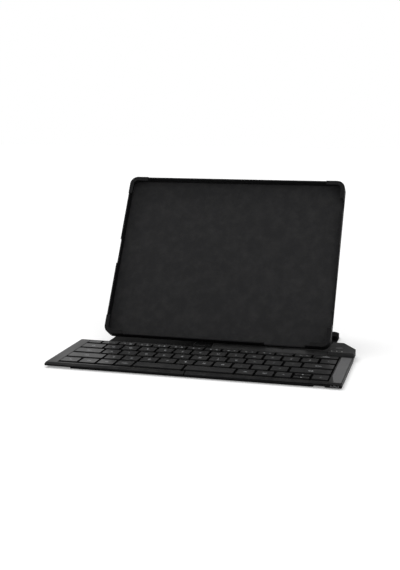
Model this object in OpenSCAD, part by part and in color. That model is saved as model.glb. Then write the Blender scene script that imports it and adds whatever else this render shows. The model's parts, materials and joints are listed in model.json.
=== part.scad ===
// Folding travel keyboard with a tilting tray: two keyboard halves that swing
// together on a sliding carriage, on a thin base with an easel stand.
// Millimetres. X runs along the keys, Y from front to back, Z up from the table.
// Inside the modules y = 0 is the front edge of the keyboard; at_origin() then
// puts the origin under the middle of the open object.

/* [Keys] */
// Distance between neighbouring keys
key_pitch = 19.05; // [18.8:0.05:19.2]
// Distance between rows of keys
row_pitch = 18.79; // [18.5:0.01:18.9]
// Gap between neighbouring keycaps
key_gap = 1.5; // [1.3:0.1:1.8]
// Radius of a keycap's corners
cap_r = 1.2; // [0.5:0.1:2]
// Thickness of a keycap
cap_t = 1.0; // [0.8:0.05:1.1]
// How far a keycap stands above the frame
cap_proud = 0.6; // [0.4:0.1:0.8]
// Width of the first key of the number row
first_key_1 = 16.1; // [14:0.1:18]
// Width of the first key of the upper letter row
first_key_2 = 25.7; // [24:0.1:27]
// Width of the first key of the middle letter row
first_key_3 = 30.5; // [29:0.1:32]
// Width of the first key of the lower letter row
first_key_4 = 39.9; // [38:0.1:41]
// Width of the first key of the front row
first_key_5 = 20.5; // [19:0.1:22]
// Width of each arrow key
arrow_w = 17.7; // [16:0.1:18.5]

/* [Keyboard halves] */
// Half of the width of the open keyboard
kb_half_w = 148.5; // [147.5:0.5:152]
// Depth of the open keyboard, without the ledge
kb_depth = 98.6; // [98:0.1:100]
// Radius of the halves' corners
deck_r = 1.5; // [1:0.1:3]
// Width of the rail in front of the keys
front_rail = 7.55; // [7:0.05:8]
// Width of the left end rail
left_rail = 11.2; // [10.5:0.1:12.5]
// Width of the right end rail
right_rail = 13.3; // [12.5:0.1:14.5]
// Width of the lip behind the number row
rear_lip = 2.8; // [2.6:0.1:3]
// How far the seam steps to the right in the front rail
rail_step = 4.5; // [3:0.5:6]
// Gap between the halves across the seam
seam_gap = 1.0; // [0.8:0.1:1.3]
// Gap between the halves where the seam steps sideways
step_gap = 1.6; // [1.4:0.1:1.8]
// Thickness of the thin end pieces, top to bottom
half_t = 2.7; // [2.6:0.1:3.2]
// Thickness of the keyboard frame
frame_t = 1.6; // [1.5:0.1:1.7]
// Thickness of the bottom covers' floor
cover_t = 0.5; // [0.4:0.05:0.6]
// Thickness of the covers' side walls
cover_wall = 0.8; // [0.6:0.1:1]
// Thickness of the key circuit sheet
circuit_t = 0.2; // [0.1:0.05:0.25]
// Thickness of the steel key plate
plate_t = 0.3; // [0.2:0.05:0.35]
// Thickness of the rubber dome sheet
mat_t = 0.15; // [0.1:0.05:0.2]
// Radius of a rubber dome
dome_r = 2.6; // [2:0.1:3]

/* [Ledge behind the right half] */
// Height of the ledge's top above the table
ledge_top = 7.1; // [6.8:0.1:7.2]
// Height of the end pod's top above the table
pod_top = 8.9; // [8.4:0.1:8.9]
// How far behind the keys the deep part of the ledge ends
ledge_rear = 40.4; // [38.4:0.5:41.4]
// Where the deep part of the ledge starts at the left
ledge_deep_x = 32; // [31:0.5:36]
// Where the pod starts at the left
pod_x = 122; // [121:0.5:124]
// Width of the pod's chamfered corner
pod_chamfer_x = 15; // [13:0.5:16]
// Depth of the pod's chamfered corner
pod_chamfer_y = 23.5; // [21.5:0.5:25]
// Thickness of the ledge cover
ledge_wall = 0.8; // [0.7:0.1:1]
// How far the ledge's front slopes back
ledge_slope = 4.5; // [3:0.5:6]
// Where the groove across the ledge lies
groove_x = 73; // [71:0.5:76]
// Width of the groove across the ledge
groove_w = 2; // [1:0.2:3]
// Radius of the connect button
button_r = 4; // [3:0.2:4.4]
// How far the connect button travels
button_travel = 0.5; // [0.3:0.1:0.6]

/* [Base] */
// Half of the width of the base plate
base_half_w = 122; // [121:0.5:122.5]
// Where the base plate starts at the front
base_front = 2; // [1:0.5:3]
// Where the base plate ends at the back
base_rear = 200; // [199:0.5:202]
// Radius of the base plate's rear corners
base_r = 10; // [6:1:14]
// Height of the rubber feet
foot_h = 0.5; // [0.4:0.05:0.6]
// Radius of a rubber foot
foot_r = 6; // [4:0.5:8]
// Thickness of the steel base plate
base_t = 0.6; // [0.5:0.05:0.65]
// Depth of the rear beam
beam_d = 22; // [21:0.5:23]
// Height of the rear beam's top above the table
beam_top = 5.6; // [5:0.2:6]
// Depth of the skid strip under the front edge
skid_d = 5; // [4:0.5:6]

/* [Fold mechanism] */
// Half of the distance between the two pivots
pivot_x = 12; // [11.8:0.1:12.4]
// How far behind the keys the pivots lie when the keyboard is open
pivot_y = 9.4; // [9.2:0.1:10]
// How far the carriage slides as the keyboard folds
slide_travel = 82; // [81.5:0.1:82.5]
// Radius of a pivot pin
pivot_r = 2; // [1.8:0.1:2.2]
// Wall of a pivot bush
bush_wall = 0.95; // [0.8:0.05:1.2]
// Running clearance of pins in bores, on the radius
run_gap = 0.05; // [0.03:0.01:0.08]
// Radius of the left half's round ear
left_ear_r = 9.4; // [9:0.1:9.5]
// Radius of the right half's round ear
right_ear_r = 13.8; // [13.4:0.1:14]
// Distance of a guide pin from its pivot
guide_arm = 58; // [56:1:60]
// Radius of a guide pin
guide_r = 1.5; // [1.2:0.1:1.8]
// Clearance of a guide pin in its slot
guide_gap = 0.3; // [0.25:0.05:0.5]
// Thickness of the carriage plate
carriage_t = 1.0; // [0.9:0.05:1.0]
// Width of the carriage plate
carriage_w = 44; // [40:1:50]
// Depth of the carriage plate
carriage_d = 18; // [14:1:19]
// Width of the slide shoe's neck
neck_w = 6.2; // [5:0.1:8]
// Length of the slide shoe's neck
neck_l = 14; // [10:1:14]
// Clearance of the slide shoe
shoe_gap = 0.1; // [0.05:0.01:0.15]

/* [Stand and tray] */
// Tilt of the tray above the table when it is up
tray_tilt = 58.3; // [57:0.1:59]
// Lean of the flap above the table when it is up
flap_lean = 77.3; // [77:0.1:78]
// Distance between the flap's two hinges
flap_len = 82.4; // [82:0.1:83]
// How far in front of the base's rear edge the lower hinge lies
hinge_y = 18; // [17.5:0.5:18.5]
// Height of the lower hinge above the table
hinge_z = 10.4; // [10.3:0.1:10.8]
// How far up the tray the upper hinge lies
hinge_up = 99.6; // [99.4:0.1:100]
// How far behind the tray's back the upper hinge lies
hinge_behind = 3; // [2.9:0.1:3.4]
// Half of the width of the flap
flap_half_w = 59.7; // [50:0.1:70]
// Thickness of the flap
flap_t = 2; // [1.6:0.1:2.2]
// Radius of the hinge knuckles
knuckle_r = 2.2; // [2:0.05:2.25]
// Radius of a hinge pin
hinge_pin_r = 1.2; // [1:0.05:1.3]
// Length of each fixed knuckle
lug_l = 10; // [8:0.5:14]
// Gap between knuckles along the pin
lug_gap = 0.3; // [0.2:0.05:0.5]
// Width of the tray
tray_w = 247; // [245:0.5:250]
// Height of the tray, along its back
tray_h = 190; // [188.5:0.5:191]
// Radius of the tray's corners
tray_r = 9; // [6:0.5:12]
// Thickness of the tray's walls
tray_wall = 1.6; // [1.2:0.1:1.8]
// Thickness of the tray's floor
tray_floor = 1.0; // [0.8:0.1:1.2]
// Thickness of the tray's soft lining
lining_t = 0.3; // [0.2:0.1:0.5]
// Depth of the tray's pocket
pocket_d = 8.8; // [8:0.1:9]
// Thickness of the corner clips
clip_t = 1.2; // [1:0.1:1.4]
// Length of a corner clip along each side
clip_l = 21; // [16:1:26]
// How far a corner clip reaches in over the pocket
clip_reach = 3; // [2:0.2:4]

/* [Hidden] */
$fn = 48;

// Heights above the table, from the base up
plate_top = foot_h + base_t;
slide_gap = 0.1;
carriage_z = plate_top + slide_gap;
half_z = carriage_z + carriage_t + slide_gap;
frame_top = half_z + half_t;
cover_top = half_z + cover_t;
frame_z = frame_top - frame_t;
plate_z = cover_top + circuit_t;
mat_z = plate_z + plate_t;
cap_top = frame_top + cap_proud;
cap_z = cap_top - cap_t;
dome_gap = 0.1;
dome_h = cap_z - dome_gap - mat_z;

// Plan of the keys: rows are counted from the front, 0 to 4
lip_gap = 0.35;
key_x0 = left_rail - kb_half_w;
key_x1 = kb_half_w - right_rail;
key_y1 = kb_depth - rear_lip;
first_w = [first_key_5, first_key_4, first_key_3, first_key_2, first_key_1];
// The seam follows the key edges that lie nearest to this line
seam_aim = -9;
left_count = [for (row = [0:4]) row == 0 ? 3 : round((seam_aim - unit_x(row, 0)) / key_pitch)];
// Whole keys fill the right half; the last key of a row takes what is left, at least this much
last_key_min = [0, 38, 28, 16, 24];
right_count = [for (row = [0:4]) row == 0 ? 2 :
    floor((key_x1 - unit_x(row, left_count[row]) - last_key_min[row]) / key_pitch)];
space_x0 = unit_x(0, left_count[0]);
space_x1 = key_x1 - 3 * arrow_w - right_count[0] * key_pitch;
function unit_x(row, i) = key_x0 + first_w[row] + i * key_pitch;
function seam_x(row) = row == 0 ? (space_x0 + space_x1) / 2 : unit_x(row, left_count[row]);
function row_y(row) = front_rail + row * row_pitch;
function cap_y1(row) = row == 4 ? key_y1 - lip_gap : row_y(row + 1) - key_gap / 2;

// Ledge and fold mechanism
ledge_y1 = kb_depth + ledge_rear;
pod_w = kb_half_w - pod_x;
pivot_line = kb_depth + pivot_y;
carriage_y = pivot_line - carriage_d / 2;
guide_x = pivot_x + guide_arm * cos(45);
guide_y = pivot_line - guide_arm * sin(45);
guide_bow = guide_arm * sin(22.5) - slide_travel / 4;
neck_y = pivot_line - neck_l / 2;
bush_r = pivot_r + run_gap + bush_wall;
pin_top = ledge_top - 0.7;
seat_gap = 0.02;

// Stand, at rest
hinge_line = base_rear - hinge_y;
up_y = hinge_line - flap_len * cos(flap_lean);
up_z = hinge_z + flap_len * sin(flap_lean);
foot_y = up_y - hinge_up * cos(tray_tilt) - hinge_behind * sin(tray_tilt);
foot_z = up_z - hinge_up * sin(tray_tilt) + hinge_behind * cos(tray_tilt);
wall_h = tray_floor + lining_t + pocket_d;
pin_half = flap_half_w + lug_gap + lug_l;
bar_t = 0.6;
bar_end = 12;
bar_below = 10;
bar_d = 19;
bar_half_w = pin_half + bar_end;
bar_v0 = hinge_up - bar_below;
bar_screw_x = 5;
bar_screw_v = 3;
centre_y = (foot_y + tray_h * cos(tray_tilt)) / 2;

// Screws
screw_r = 0.6;
head_r = 1.1;
head_t = 0.3;
end_screw = 5;
end_screw_y = 13;
seam_screw = 12;
mid_screw = 75;
boss_r = 2.2;
front_screw = 4;
beam_screw_r = 1;
beam_head_r = 1.9;

// Colours
black = [0.05, 0.05, 0.055];
charcoal = [0.11, 0.11, 0.12];
grey = [0.3, 0.3, 0.31];
steel = [0.55, 0.56, 0.58];

module at_origin() translate([0, -centre_y, 0]) children();
module on_tray() at_origin() translate([0, foot_y, foot_z]) rotate([tray_tilt, 0, 0]) children();
module on_flap() at_origin() translate([0, hinge_line, hinge_z]) rotate([180 - flap_lean, 0, 0]) children();
module lift(z, h) translate([0, 0, z]) linear_extrude(h) children();

// A rectangle from one corner to the other, with round corners
module rounded(x0, y0, x1, y1, r) {
    translate([x0 + r, y0]) square([x1 - x0 - 2 * r, y1 - y0]);
    translate([x0, y0 + r]) square([x1 - x0, y1 - y0 - 2 * r]);
    for (x = [x0 + r, x1 - r], y = [y0 + r, y1 - r]) translate([x, y]) circle(r);
}
module block(x0, y0, x1, y1) translate([x0, y0]) square([x1 - x0, y1 - y0]);
// A rod along X between two ends
module rod(x0, x1, y, z, r) translate([x0, y, z]) rotate([0, 90, 0]) cylinder(h = x1 - x0, r = r);

// ---- Plans of the two halves, with the stepped seam between them ----
// Row -1 is the rail in front of the keys
function seam_y0(row, dy) = row < 0 ? -kb_depth : row_y(row) - dy;
function seam_y1(row, dy) = row == 4 ? 2 * kb_depth : row_y(row + 1) + dy;
function seam_or_rail(row) = row < 0 ? seam_x(0) + rail_step : seam_x(row);
module rows_right_of_seam(dx, dy) for (row = [-1:4])
    block(seam_or_rail(row) - dx, seam_y0(row, dy), 2 * kb_half_w, seam_y1(row, dy));
module rows_left_of_seam(dx, dy) for (row = [-1:4])
    block(-2 * kb_half_w, seam_y0(row, dy), seam_or_rail(row) + dx, seam_y1(row, dy));
module deck() rounded(-kb_half_w, 0, kb_half_w, kb_depth, deck_r);
module left_plan() difference() {
    deck();
    rows_right_of_seam(seam_gap / 2, step_gap / 2);
}
module right_plan() difference() {
    deck();
    rows_left_of_seam(seam_gap / 2, step_gap / 2);
}
module left_ear() difference() {
    union() {
        translate([-pivot_x, pivot_line]) circle(left_ear_r);
        block(-pivot_x - left_ear_r, kb_depth - 2, left_ear_r - pivot_x, pivot_line);
    }
    block(seam_x(4) - seam_gap / 2, 0, 0, kb_depth + step_gap / 2);
}
// The ledge: a round ear at the pivot, a shallow strip and the deep housing
module ledge_plan(inset = 0) {
    translate([pivot_x, pivot_line]) circle(right_ear_r - inset);
    block(pivot_x - right_ear_r + inset, kb_depth + inset, pivot_x, pivot_line);
    block(pivot_x, kb_depth + inset, ledge_deep_x + inset, pivot_line + right_ear_r - inset);
    polygon([[ledge_deep_x + inset, kb_depth + inset], [ledge_deep_x + inset, ledge_y1 - inset],
        [kb_half_w - pod_chamfer_x - inset / 2, ledge_y1 - inset],
        [kb_half_w - inset, ledge_y1 - pod_chamfer_y - inset / 2], [kb_half_w - inset, kb_depth + inset]]);
}
module ledge_outline() difference() {
    ledge_plan();
    block(-kb_half_w, 0, kb_half_w, kb_depth);
}
module key_well() block(key_x0, front_rail, key_x1, key_y1);
// Where the flat inner sheets lie: the key well and a little way under the frame
module sheet_area() block(key_x0 - 1, front_rail - 1, key_x1 + 1, kb_depth - cover_wall - 0.1);

// ---- Base ----
module base_outline() {
    rounded(-base_half_w, base_front + base_r, base_half_w, base_rear, base_r);
    rounded(-base_half_w, base_front, base_half_w, base_rear - base_r, 2);
}
module guide_slot(side) {
    r = guide_bow + guide_r + guide_gap;
    x0 = guide_x - guide_r - guide_gap + r;
    x1 = pivot_x + guide_arm + guide_r + guide_gap - r;
    for (x = [x0, x1]) translate([side * x, guide_y]) circle(r);
    translate([side * (x0 + x1) / 2, guide_y]) square([x1 - x0, 2 * r], center = true);
}
module base_plate() at_origin() color(black) difference() {
    lift(foot_h, base_t) difference() {
        base_outline();
        block(-neck_w / 2 - shoe_gap, neck_y - slide_travel - 0.3, neck_w / 2 + shoe_gap, neck_y + neck_l + 0.3);
        for (side = [-1, 1]) guide_slot(side);
    }
    for (x = beam_screw_xs) translate([x, beam_y, 0]) cylinder(h = 2 * plate_top, r = beam_head_r + 0.1);
}
skid_chamfer = 2.5;
skid_left = 1;
skid_right = 6;
skid_x0 = skid_left - base_half_w;
skid_x1 = base_half_w - skid_right;
skid_y = 0.8;
skid_h = carriage_t;
module front_skid() at_origin() color(black) translate([0, skid_y + skid_d, plate_top])
    rotate([90, 0, 0]) linear_extrude(skid_d)
        polygon([[skid_x0 + skid_chamfer, 0], [skid_x1 - skid_chamfer, 0], [skid_x1, skid_h], [skid_x0, skid_h]]);
beam_y = base_rear - beam_d / 2;
beam_screw_in = 26;
beam_screw_xs = [-1, -0.4, 0.4, 1] * (base_half_w - beam_screw_in);
beam_half_w = base_half_w - 0.5;
module lug(x0, x1) difference() {
    union() {
        rod(x0, x1, hinge_line, hinge_z, knuckle_r);
        translate([x0, hinge_line - knuckle_r, beam_top - 1]) cube([x1 - x0, 2 * knuckle_r, hinge_z - beam_top + 1]);
    }
    rod(x0 - 1, x1 + 1, hinge_line, hinge_z, hinge_pin_r + seat_gap);
}
module rear_beam() at_origin() color(black) {
    difference() {
        lift(plate_top, beam_top - plate_top)
            intersection() {
                base_outline();
                rounded(-beam_half_w, base_rear - beam_d, beam_half_w, base_rear - 0.5, 2);
            }
        for (x = beam_screw_xs) translate([x, beam_y, 0]) cylinder(h = beam_top - 1, r = beam_screw_r + seat_gap);
    }
    for (side = [-1, 1]) lug(side * (pin_half - lug_l / 2) - lug_l / 2, side * (pin_half - lug_l / 2) + lug_l / 2);
}
foot_inset = 14;
module base_feet() at_origin() color(charcoal)
    for (x = [-1, 1] * (base_half_w - foot_inset), y = [base_front + foot_inset, base_rear - foot_inset])
        translate([x, y, 0]) cylinder(h = foot_h, r = foot_r);
module beam_screws() at_origin() color(steel) for (x = beam_screw_xs) translate([x, beam_y, 0]) {
    translate([0, 0, foot_h]) cylinder(h = base_t, r = beam_head_r);
    translate([0, 0, plate_top - 0.1]) cylinder(h = beam_top - 1.2 - plate_top, r = beam_screw_r);
}
module lower_hinge_pin() at_origin() color(steel) rod(-pin_half, pin_half, hinge_line, hinge_z, hinge_pin_r);

// ---- Carriage, which slides towards the front as the halves swing ----
module carriage_plate() at_origin() color(steel) lift(carriage_z, carriage_t) difference() {
    rounded(-carriage_w / 2, carriage_y, carriage_w / 2, carriage_y + carriage_d, 4);
    for (side = [-1, 1]) translate([side * pivot_x, pivot_line]) circle(pivot_r + seat_gap);
}
shoe_t = 0.22;
shoe_w = 14;
module slide_shoe() at_origin() color(steel) {
    z0 = foot_h - 0.04 - shoe_t;
    lift(z0, shoe_t) block(-shoe_w / 2, carriage_y, shoe_w / 2, carriage_y + carriage_d);
    lift(z0, carriage_z - z0) block(-neck_w / 2, neck_y, neck_w / 2, neck_y + neck_l);
}
module pivot_pins() at_origin() color(steel) for (side = [-1, 1])
    translate([side * pivot_x, pivot_line, carriage_z]) cylinder(h = pin_top - carriage_z, r = pivot_r);

// ---- Parts that the two halves share, side = -1 left, 1 right ----
module half_plan(side) if (side < 0) left_plan(); else right_plan();
module key_sheet(side, z, t) lift(z, t) intersection() { half_plan(side); sheet_area(); }
module pivot_bush(side) at_origin() color(grey) translate([side * pivot_x, pivot_line, half_z]) difference() {
    cylinder(h = pin_top - half_z, r = bush_r);
    translate([0, 0, -1]) cylinder(h = pin_top, r = pivot_r + run_gap);
}
module guide_pin(side) at_origin() color(steel)
    translate([side * guide_x, guide_y, foot_h + 0.05]) cylinder(h = cover_top - foot_h - 0.05, r = guide_r);
module screw_spots(side) {
    x1 = side < 0 ? kb_half_w - end_screw : kb_half_w - end_screw - 1;
    for (y = [end_screw_y, kb_depth / 2, kb_depth - end_screw_y]) translate([side * x1, y]) children();
    for (x = [seam_x(0) + side * seam_screw, side * mid_screw]) translate([x, front_screw]) children();
}
module half_screws(side) at_origin() color(steel) screw_spots(side) {
    translate([0, 0, half_z]) cylinder(h = head_t, r = head_r);
    translate([0, 0, half_z]) cylinder(h = frame_top - panel_t - 0.4 - half_z, r = screw_r);
}
module screw_holes(side) screw_spots(side) {
    translate([0, 0, half_z - 1]) cylinder(h = 1 + head_t, r = head_r + seat_gap);
    translate([0, 0, half_z - 1]) cylinder(h = 1 + frame_top - panel_t - 0.4 - half_z, r = screw_r + seat_gap);
}
// One dome of rubber under the middle of each key
module domes(row, xs) for (x = xs) translate([x, (row_y(row) + key_gap / 2 + cap_y1(row)) / 2, mat_z])
    cylinder(h = dome_h, r1 = dome_r, r2 = dome_r / 2);
function mid(a, b) = (a + b) / 2;
function unit_mids(row, from, count) = [for (i = [0:count - 1]) mid(unit_x(row, from + i), unit_x(row, from + i + 1))];
function row_end(row) = unit_x(row, left_count[row] + right_count[row]);

// ---- Left half ----
module left_bottom_cover() at_origin() color(black) difference() {
    union() {
        lift(half_z, cover_t) left_plan();
        lift(half_z, frame_z - half_z) difference() {
            left_plan();
            block(cover_wall - kb_half_w, cover_wall, kb_half_w, kb_depth - cover_wall);
        }
        lift(half_z, frame_z - half_z) intersection() {
            left_plan();
            screw_spots(-1) circle(boss_r);
        }
        lift(half_z, frame_z - half_z) left_ear_tail();
    }
    screw_holes(-1);
    translate([-guide_x, guide_y, 0]) cylinder(h = frame_z, r = guide_r + seat_gap);
    translate([-pivot_x, pivot_line, 0]) cylinder(h = frame_top, r = bush_r + seat_gap);
}
module left_ear_tail() difference() {
    left_ear();
    block(-kb_half_w, 0, kb_half_w, kb_depth - cover_wall);
}
module left_frame() at_origin() color(charcoal) difference() {
    union() {
        lift(frame_z, frame_t) difference() {
            left_plan();
            key_well();
        }
        lift(frame_z, ledge_top - frame_z) difference() {
            left_ear();
            block(-kb_half_w, 0, kb_half_w, key_y1);
        }
    }
    screw_holes(-1);
    translate([-pivot_x, pivot_line, 0]) cylinder(h = pin_top + 0.1, r = bush_r + seat_gap);
}
module left_key_plate() at_origin() color(steel) key_sheet(-1, plate_z, plate_t);
module left_circuit() at_origin() color("darkgreen") key_sheet(-1, cover_top, circuit_t);
module left_dome_mat() at_origin() color(grey) {
    lift(mat_z, mat_t) intersection() { left_plan(); key_well(); }
    for (row = [0:4]) domes(row, concat([mid(key_x0, unit_x(row, 0))],
        unit_mids(row, 0, left_count[row]), row == 0 ? [mid(space_x0, seam_x(0))] : []));
}
module left_pivot_bush() pivot_bush(-1);
module left_guide_pin() guide_pin(-1);
module left_screws() half_screws(-1);

// ---- Right half ----
block_w = 16;
block_x = kb_half_w - block_w;
module right_bottom_cover() at_origin() color(black) difference() {
    union() {
        lift(half_z, cover_t) { right_plan(); ledge_outline(); }
        lift(half_z, frame_z - half_z) difference() {
            right_plan();
            block(-kb_half_w, cover_wall, kb_half_w - cover_wall, kb_depth + 1);
        }
        lift(half_z, frame_top - half_z) difference() {
            ledge_outline();
            difference() { ledge_plan(cover_wall); translate([pivot_x, pivot_line]) circle(bush_r + 1.5); }
            block(-pivot_x, kb_depth - 1, kb_half_w - cover_wall, kb_depth + cover_wall + 0.1);
        }
        lift(half_z, frame_z - half_z) screw_spots(1) circle(boss_r);
        lift(carriage_z, half_z - carriage_z) rounded(block_x, 0, kb_half_w, kb_depth, 1.5);
    }
    screw_spots(1) translate([0, 0, carriage_z - 1]) cylinder(h = 1 + half_z + head_t - carriage_z, r = head_r + seat_gap);
    screw_holes(1);
    usb_cavity();
    translate([guide_x, guide_y, 0]) cylinder(h = frame_z, r = guide_r + seat_gap);
    translate([pivot_x, pivot_line, 0]) cylinder(h = frame_top + 1, r = bush_r + seat_gap);
}
panel_t = 0.6;
panel_gap = 0.15;
panel_rim = 1.2;
panel_rear = 4;
panel_front = 6;
panel_slant = 3.7;
panel_kink_y = 27;
module panel_shape(grow = 0) {
    x0 = key_x1 + panel_rim - grow;
    x1 = kb_half_w - panel_rim + grow;
    y0 = panel_front - grow;
    y1 = kb_depth - panel_rear + grow;
    polygon([[x0, y1], [x1, y1], [x1, y0], [x0 + panel_slant, y0], [x0, panel_kink_y]]);
}
module right_frame() at_origin() color(charcoal) difference() {
    lift(frame_z, frame_t) difference() {
        right_plan();
        key_well();
    }
    lift(frame_top - panel_t, panel_t + 1) panel_shape(panel_gap);
    screw_holes(1);
    usb_cavity();
}
module end_panel() at_origin() color(grey) lift(frame_top - panel_t, panel_t) panel_shape();
module right_key_plate() at_origin() color(steel) key_sheet(1, plate_z, plate_t);
module right_circuit() at_origin() color("darkgreen") key_sheet(1, cover_top, circuit_t);
module right_dome_mat() at_origin() color(grey) {
    lift(mat_z, mat_t) intersection() { right_plan(); key_well(); }
    for (row = [1:4]) domes(row, concat(unit_mids(row, left_count[row], right_count[row]),
        [mid(row_end(row), key_x1)]));
    domes(0, concat([mid(seam_x(0), space_x1)], [for (i = [0:1]) space_x1 + (i + 0.5) * key_pitch],
        [for (i = [0:2]) key_x1 - (i + 0.5) * arrow_w]));
}
module right_pivot_bush() pivot_bush(1);
module right_guide_pin() guide_pin(1);
module right_screws() half_screws(1);

// The socket sits in the front of the right end, its mouth flush with the edge
usb_in = 6.6;
usb_x = kb_half_w - usb_in;
usb_w = 7.2;
usb_h = 1.9;
usb_l = 5;
usb_z = carriage_z + 1.1;
usb_wall = 0.25;
module usb_cavity() translate([usb_x - usb_w / 2 - 0.1, -1, usb_z - 0.1]) cube([usb_w + 0.2, usb_l + 1.1, usb_h + 0.2]);
module usb_socket() at_origin() color(steel) translate([usb_x, 0, usb_z]) difference() {
    translate([-usb_w / 2, 0, 0]) cube([usb_w, usb_l, usb_h]);
    difference() {
        translate([usb_wall - usb_w / 2, -1, usb_wall]) cube([usb_w - 2 * usb_wall, usb_l, usb_h - 2 * usb_wall]);
        translate([-usb_w / 4, 0.8, usb_h / 2 - 0.2]) cube([usb_w / 2, usb_l, 0.4]);
    }
}
// The ledge cover: sloped front, a groove, and the higher pod at its end
button_back = 16.4;
button_x = pod_x + 0.3654 * pod_w;
button_y = kb_depth + button_back;
light_back = 4.4;
light_y = kb_depth + light_back;
light_xs = [for (i = [0:2]) pod_x + (0.123 + 0.2 * i) * pod_w];
light_r = 0.55;
module ledge_cover() at_origin() color(charcoal) difference() {
    union() {
        lift(frame_top, ledge_top - frame_top) ledge_outline();
        lift(frame_top, pod_top - frame_top) intersection() {
            ledge_outline();
            block(pod_x, 0, kb_half_w, ledge_y1);
        }
    }
    // sloped front between the ear and the pod
    translate([-kb_half_w, kb_depth, frame_top]) rotate([90, 0, 90]) linear_extrude(kb_half_w + pod_x)
        polygon([[-1, -0.01], [0, -0.01], [ledge_slope, ledge_top - frame_top + 0.01], [-1, ledge_top]]);
    translate([groove_x, kb_depth - 1, ledge_top - 0.5]) cube([groove_w, ledge_y1 - kb_depth + 2, 1]);
    // hollow for the battery and the board
    lift(frame_top - 1, ledge_top - ledge_wall - frame_top + 1) intersection() {
        ledge_plan(cover_wall);
        block(ledge_deep_x + 1, kb_depth + ledge_slope, kb_half_w, ledge_y1);
    }
    lift(frame_top - 1, pod_top - ledge_wall - frame_top + 1) intersection() {
        ledge_plan(cover_wall);
        block(pod_x + cover_wall, kb_depth, kb_half_w, ledge_y1);
    }
    translate([pivot_x, pivot_line, 0]) cylinder(h = pin_top + 0.1, r = bush_r + seat_gap);
    translate([button_x, button_y, 0]) cylinder(h = 2 * pod_top, r = button_r + 0.2);
    for (x = light_xs) translate([x, light_y, 0]) cylinder(h = 2 * pod_top, r = light_r + seat_gap);
}
board_t = 0.8;
board_z = cover_top + 1.2;
module board_area() intersection() {
    ledge_plan(cover_wall + 0.4);
    block(pod_x + cover_wall + 0.4, kb_depth, kb_half_w, ledge_y1);
}
module main_board() at_origin() color("darkgreen") {
    lift(board_z, board_t) board_area();
    // support posts, switch under the button and stalks under the lights
    for (x = [pod_x + 4, kb_half_w - 4], y = [kb_depth + 5, ledge_y1 - pod_chamfer_y - 3])
        translate([x, y, cover_top]) cylinder(h = board_z - cover_top, r = 1);
    translate([button_x - 2, button_y - 2, board_z + board_t])
        cube([4, 4, button_z - button_travel - 0.1 - board_z - board_t]);
    for (x = light_xs) translate([x - 0.5, light_y - 0.5, board_z + board_t])
        cube([1, 1, pod_top - ledge_wall - 0.1 - board_z - board_t]);
}
button_t = 1.4;
button_z = pod_top - button_t + 0.2;
module connect_button() at_origin() color(charcoal)
    translate([button_x, button_y, button_z]) cylinder(h = button_t, r = button_r);
module status_lights() at_origin() color("white") for (x = light_xs)
    translate([x, light_y, pod_top - ledge_wall - 0.1]) cylinder(h = ledge_wall + 0.1, r = light_r);
battery_gap = 0.3;
module battery() at_origin() color("silver")
    lift(cover_top, ledge_top - ledge_wall - battery_gap - cover_top)
        rounded(ledge_deep_x + cover_wall + 1, kb_depth + ledge_slope + battery_gap, pod_x - 2,
            ledge_y1 - cover_wall - battery_gap, 1.5);

// ---- Keys: one solid cap each, held above its dome ----
module cap(row, x0, x1) lift(cap_z, cap_t)
    rounded(x0 + key_gap / 2, row_y(row) + key_gap / 2, x1 - key_gap / 2, cap_y1(row), cap_r);
module unit_caps(row, from, count) for (i = [0:count - 1]) cap(row, unit_x(row, from + i), unit_x(row, from + i + 1));
module keys() at_origin() color(black) children();
module first_cap(row) keys() cap(row, key_x0, unit_x(row, 0));
module last_cap(row) keys() cap(row, row_end(row), key_x1);
module left_caps(row) keys() unit_caps(row, 0, left_count[row]);
module right_caps(row) keys() unit_caps(row, left_count[row], right_count[row]);
module number_keys_left() { first_cap(4); left_caps(4); }
module tab_key() first_cap(3);
module upper_letter_keys_left() left_caps(3);
module caps_lock_key() first_cap(2);
module middle_letter_keys_left() left_caps(2);
module left_shift_key() first_cap(1);
module lower_letter_keys_left() left_caps(1);
module left_modifier_keys() { first_cap(0); left_caps(0); }
module left_space_key() keys() cap(0, space_x0, seam_x(0));
module number_keys_right() right_caps(4);
module backspace_key() last_cap(4);
module upper_letter_keys_right() right_caps(3);
module backslash_key() last_cap(3);
module middle_letter_keys_right() right_caps(2);
module enter_key() last_cap(2);
module lower_letter_keys_right() right_caps(1);
module right_shift_key() last_cap(1);
module right_space_key() keys() cap(0, seam_x(0), space_x1);
module right_modifier_keys() keys() for (i = [0:1]) cap(0, space_x1 + i * key_pitch, space_x1 + (i + 1) * key_pitch);
module arrow_cap(i) keys() cap(0, key_x1 - (3 - i) * arrow_w, key_x1 - (2 - i) * arrow_w);
module left_arrow_key() arrow_cap(0);
// Two half-height caps, one above the other, in the middle arrow's place
module up_down_keys() keys() {
    y_mid = mid(row_y(0) + key_gap / 2, cap_y1(0));
    x0 = key_x1 - 2 * arrow_w + key_gap / 2;
    x1 = key_x1 - arrow_w - key_gap / 2;
    lift(cap_z, cap_t) rounded(x0, row_y(0) + key_gap / 2, x1, y_mid - key_gap / 4, cap_r);
    lift(cap_z, cap_t) rounded(x0, y_mid + key_gap / 4, x1, cap_y1(0), cap_r);
}
module right_arrow_key() arrow_cap(2);

// ---- Stand ----
module flap_plate() on_flap() color(charcoal) difference() {
    union() {
        translate([-flap_half_w, 0, -flap_t / 2]) cube([2 * flap_half_w, flap_len, flap_t]);
        for (v = [0, flap_len]) rod(-flap_half_w, flap_half_w, v, 0, knuckle_r);
    }
    rod(-kb_half_w, kb_half_w, 0, 0, hinge_pin_r + run_gap);
    rod(-kb_half_w, kb_half_w, flap_len, 0, hinge_pin_r + seat_gap);
}
module upper_hinge_pin() on_flap() color(steel) rod(-pin_half, pin_half, flap_len, 0, hinge_pin_r);

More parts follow.
